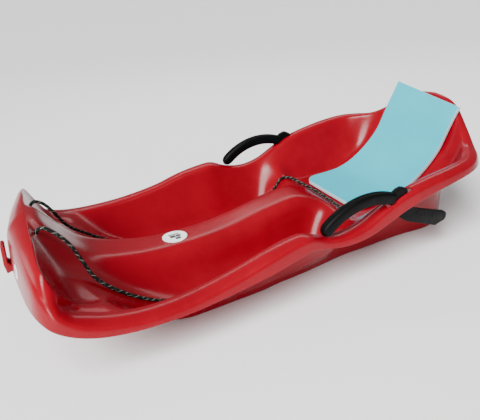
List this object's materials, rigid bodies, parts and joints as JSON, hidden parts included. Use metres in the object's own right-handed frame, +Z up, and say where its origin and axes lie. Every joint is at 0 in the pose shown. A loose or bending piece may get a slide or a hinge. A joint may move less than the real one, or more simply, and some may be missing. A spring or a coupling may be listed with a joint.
{
  "type": "bob sledge",
  "caption": "Moulded plastic bob sledge with a blunt upswept nose, raised seat and backrest, hand brakes at the sides, a tow rope and a foam seat pad.",
  "frame": {"origin": "centre of the footprint of the whole sledge, on the ground", "axes": "+X forward to the nose, +Y to the rider's left, +Z up"},
  "size_m": [0.9854, 0.4768, 0.2669],
  "materials": {
    "shell": "moulded polyethylene, glossy",
    "lever": "moulded nylon, fine grain",
    "pin": "zinc plated",
    "rope": "braided polypropylene with light flecks",
    "foam": "closed-cell foam, matt",
    "label": "printed vinyl"
  },
  "bodies": {
    "sledge": {"shell": "shell", "pivot_pin_left": "pin", "pivot_pin_right": "pin", "tow_rope": "rope", "rope_knot_left": "rope", "rope_knot_right": "rope", "seat_pad": "foam", "hump_label": "label", "nose_label_left": "label", "nose_label_right": "label"},
    "lever_left": {"brake_lever_left": "lever"},
    "lever_right": {"brake_lever_right": "lever"}
  },
  "joints": [
    {"name": "brake_left", "type": "hinge", "parent": "sledge", "child": "lever_left", "pos_m": [-0.19471, 0.2091, 0.13996], "axis": [0, -1, 0], "range_deg": [0, 55]},
    {"name": "brake_right", "type": "hinge", "parent": "sledge", "child": "lever_right", "pos_m": [-0.19471, -0.2091, 0.13996], "axis": [0, -1, 0], "range_deg": [0, 55]}
  ]
}
